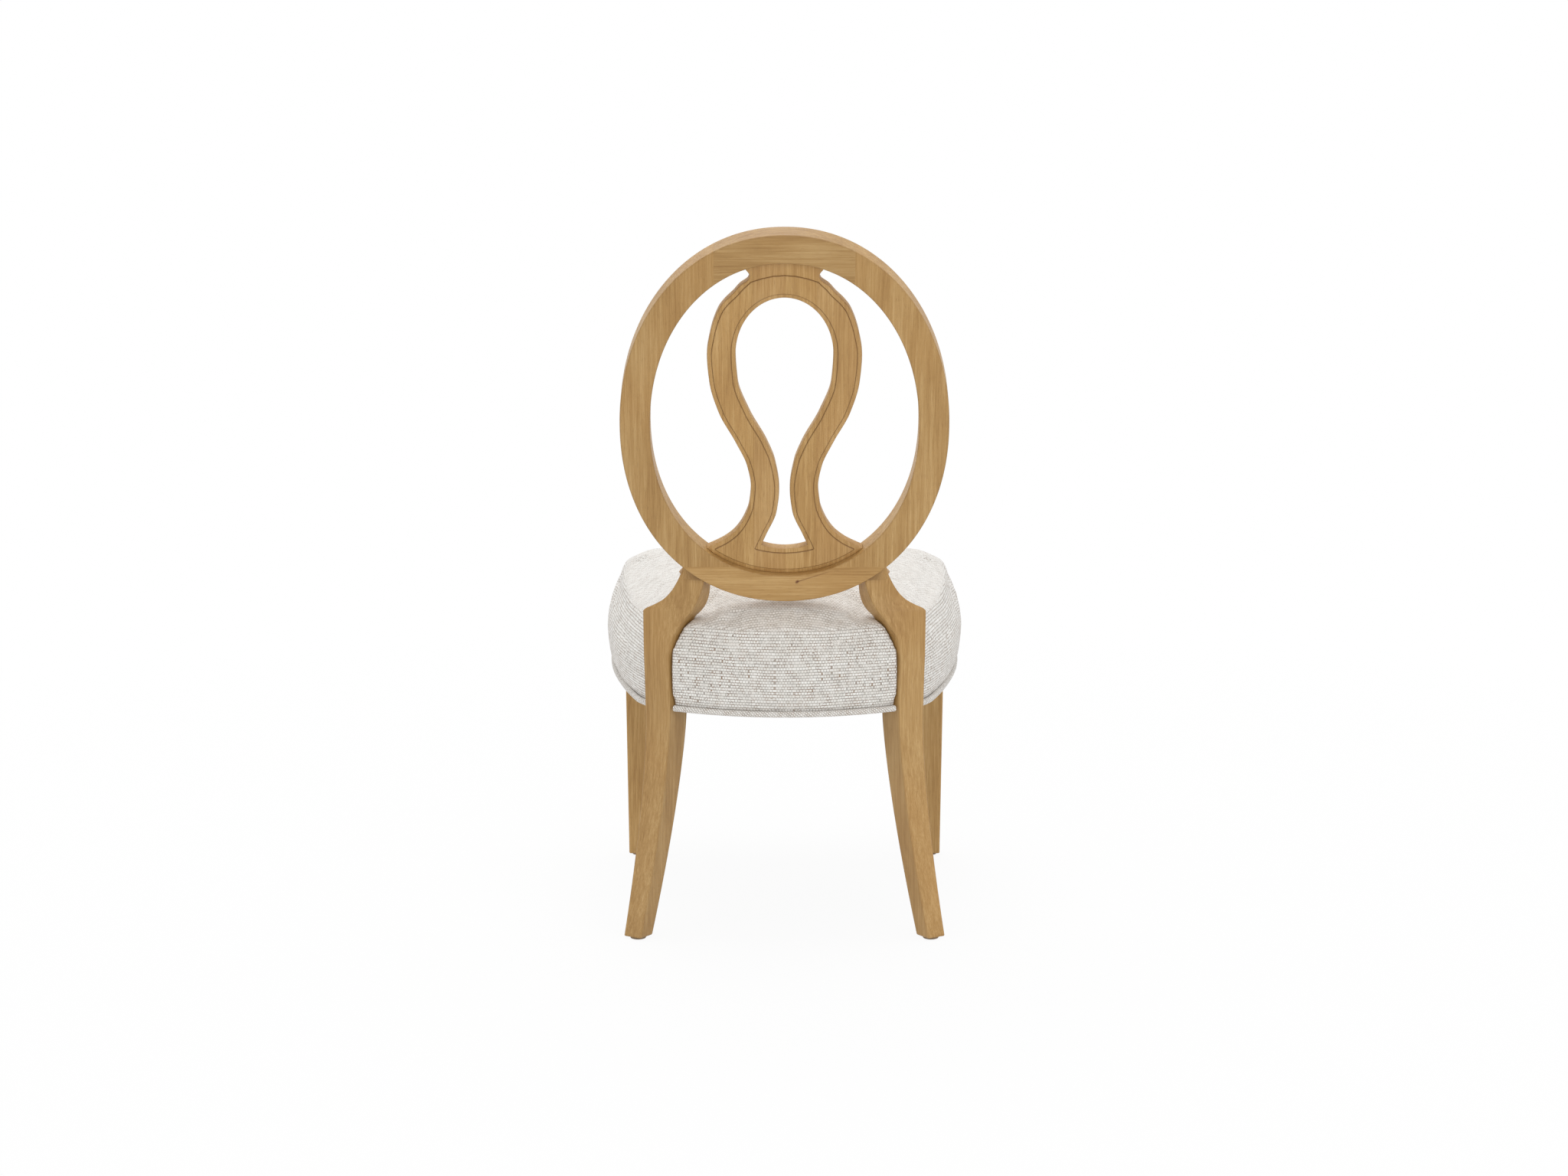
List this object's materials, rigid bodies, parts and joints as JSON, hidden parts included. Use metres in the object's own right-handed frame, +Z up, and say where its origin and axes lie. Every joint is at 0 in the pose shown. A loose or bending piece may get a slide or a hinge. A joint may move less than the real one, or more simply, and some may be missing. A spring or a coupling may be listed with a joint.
{
  "type": "side chair",
  "caption": "Oak dining side chair with a leaning oval back, a pierced loop splat, sabre rear legs, square tapered front legs and a piped cream upholstered seat.",
  "frame": {"origin": "on the floor, at the middle of the chair's footprint box", "axes": "+Z up, +Y towards the back of the chair, +X towards the sitter's left; the chair faces -Y"},
  "size_m": [0.534, 0.7172, 1],
  "materials": {
    "oak": "golden oak, satin lacquer",
    "oak_light": "golden oak boards glued edge to edge, satin lacquer",
    "beech": "bare planed beech",
    "plywood": "bare plywood",
    "fabric": "cream and white basket weave",
    "foam": "upholstery foam and wadding",
    "lining": "black non-woven lining",
    "steel": "zinc plated",
    "nylon": "moulded nylon"
  },
  "bodies": {
    "root": {"back_ring_top": "oak", "back_ring_left": "oak", "back_ring_right": "oak", "back_ring_bottom": "oak", "rear_leg_left": "oak", "rear_leg_right": "oak", "front_leg_left": "oak", "front_leg_right": "oak", "splat": "oak_light", "ring_dowel_top_left_1": "beech", "ring_dowel_bottom_left_1": "beech", "neck_dowel_left_1": "beech", "block_screw_rear_left_1": "steel", "block_screw_front_left_1": "steel", "ring_dowel_top_left_2": "beech", "ring_dowel_bottom_left_2": "beech", "neck_dowel_left_2": "beech", "block_screw_rear_left_2": "steel", "block_screw_front_left_2": "steel", "splat_dowel_top_left": "beech", "splat_dowel_bottom_left": "beech", "side_rail_left": "beech", "corner_block_rear_left": "beech", "corner_block_front_left": "beech", "glide_rear_left": "nylon", "leg_bolt_rear_left": "steel", "glide_front_left": "nylon", "leg_bolt_front_left": "steel", "ring_dowel_top_right_1": "beech", "ring_dowel_bottom_right_1": "beech", "neck_dowel_right_1": "beech", "block_screw_rear_right_1": "steel", "block_screw_front_right_1": "steel", "ring_dowel_top_right_2": "beech", "ring_dowel_bottom_right_2": "beech", "neck_dowel_right_2": "beech", "block_screw_rear_right_2": "steel", "block_screw_front_right_2": "steel", "splat_dowel_top_right": "beech", "splat_dowel_bottom_right": "beech", "side_rail_right": "beech", "corner_block_rear_right": "beech", "corner_block_front_right": "beech", "glide_rear_right": "nylon", "leg_bolt_rear_right": "steel", "glide_front_right": "nylon", "leg_bolt_front_right": "steel", "seat_cover": "fabric", "seat_welt_rear": "fabric", "seat_welt_front": "fabric", "seat_foam": "foam", "edge_padding_rear": "foam", "edge_padding_front": "foam", "edge_padding_left": "foam", "edge_padding_right": "foam", "seat_deck": "plywood", "dust_cover": "lining", "back_rail": "beech", "front_rail": "beech"}
  },
  "joints": []
}
